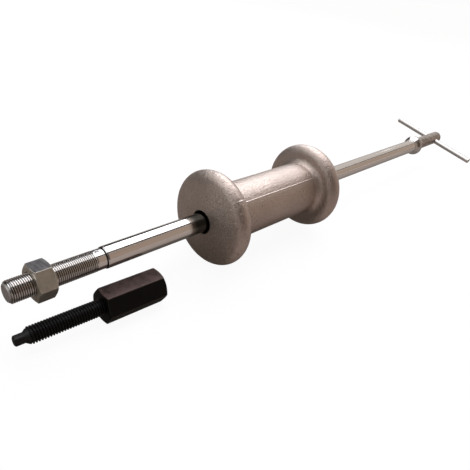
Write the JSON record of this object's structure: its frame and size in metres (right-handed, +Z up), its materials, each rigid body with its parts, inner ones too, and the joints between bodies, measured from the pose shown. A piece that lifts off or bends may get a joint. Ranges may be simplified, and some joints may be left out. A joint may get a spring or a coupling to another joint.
{
  "type": "slide hammer puller",
  "caption": "Hand puller: a long steel rod with a sliding spool-shaped weight, a lock nut on its threaded end, a rounded stop and a cross bar behind, with a loose hexagonal adapter beside it.",
  "frame": {"origin": "on the rod's axis at the first full turn of its front thread", "axes": "+X runs along the rod to the rear, +Z is up from the surface that the weight's rims stand on"},
  "size_m": [0.6569, 0.123, 0.0858],
  "materials": {
    "polished_rod": "polished",
    "plated_nut": "satin plated",
    "cast_weight": "fine cast, satin",
    "turned_head": "turned, satin",
    "black_steel": "black oxide"
  },
  "bodies": {
    "rod": {"slide_rod": "polished_rod", "stop_collar": "polished_rod", "end_head": "turned_head"},
    "nut": {"lock_nut": "plated_nut"},
    "weight": {"hammer_weight": "cast_weight"},
    "bar": {"tommy_bar": "polished_rod"},
    "adapter": {"adapter_body": "black_steel", "adapter_stud": "black_steel"}
  },
  "joints": [
    {"name": "weight_slide", "type": "slide", "parent": "rod", "child": "weight", "axis": [1, 0, 0], "range_m": [-0.056, 0.2438]},
    {"name": "nut_travel", "type": "slide", "parent": "rod", "child": "nut", "axis": [1, 0, 0], "range_m": [-0.016, 0.0321]},
    {"name": "bar_slide", "type": "slide", "parent": "rod", "child": "bar", "axis": [0, 0.9903, 0.1392], "range_m": [-0.0479, 0.0535]},
    {"name": "adapter_aside", "type": "slide", "parent": "rod", "child": "adapter", "axis": [0, -1, 0], "range_m": [0, 0.12]}
  ]
}
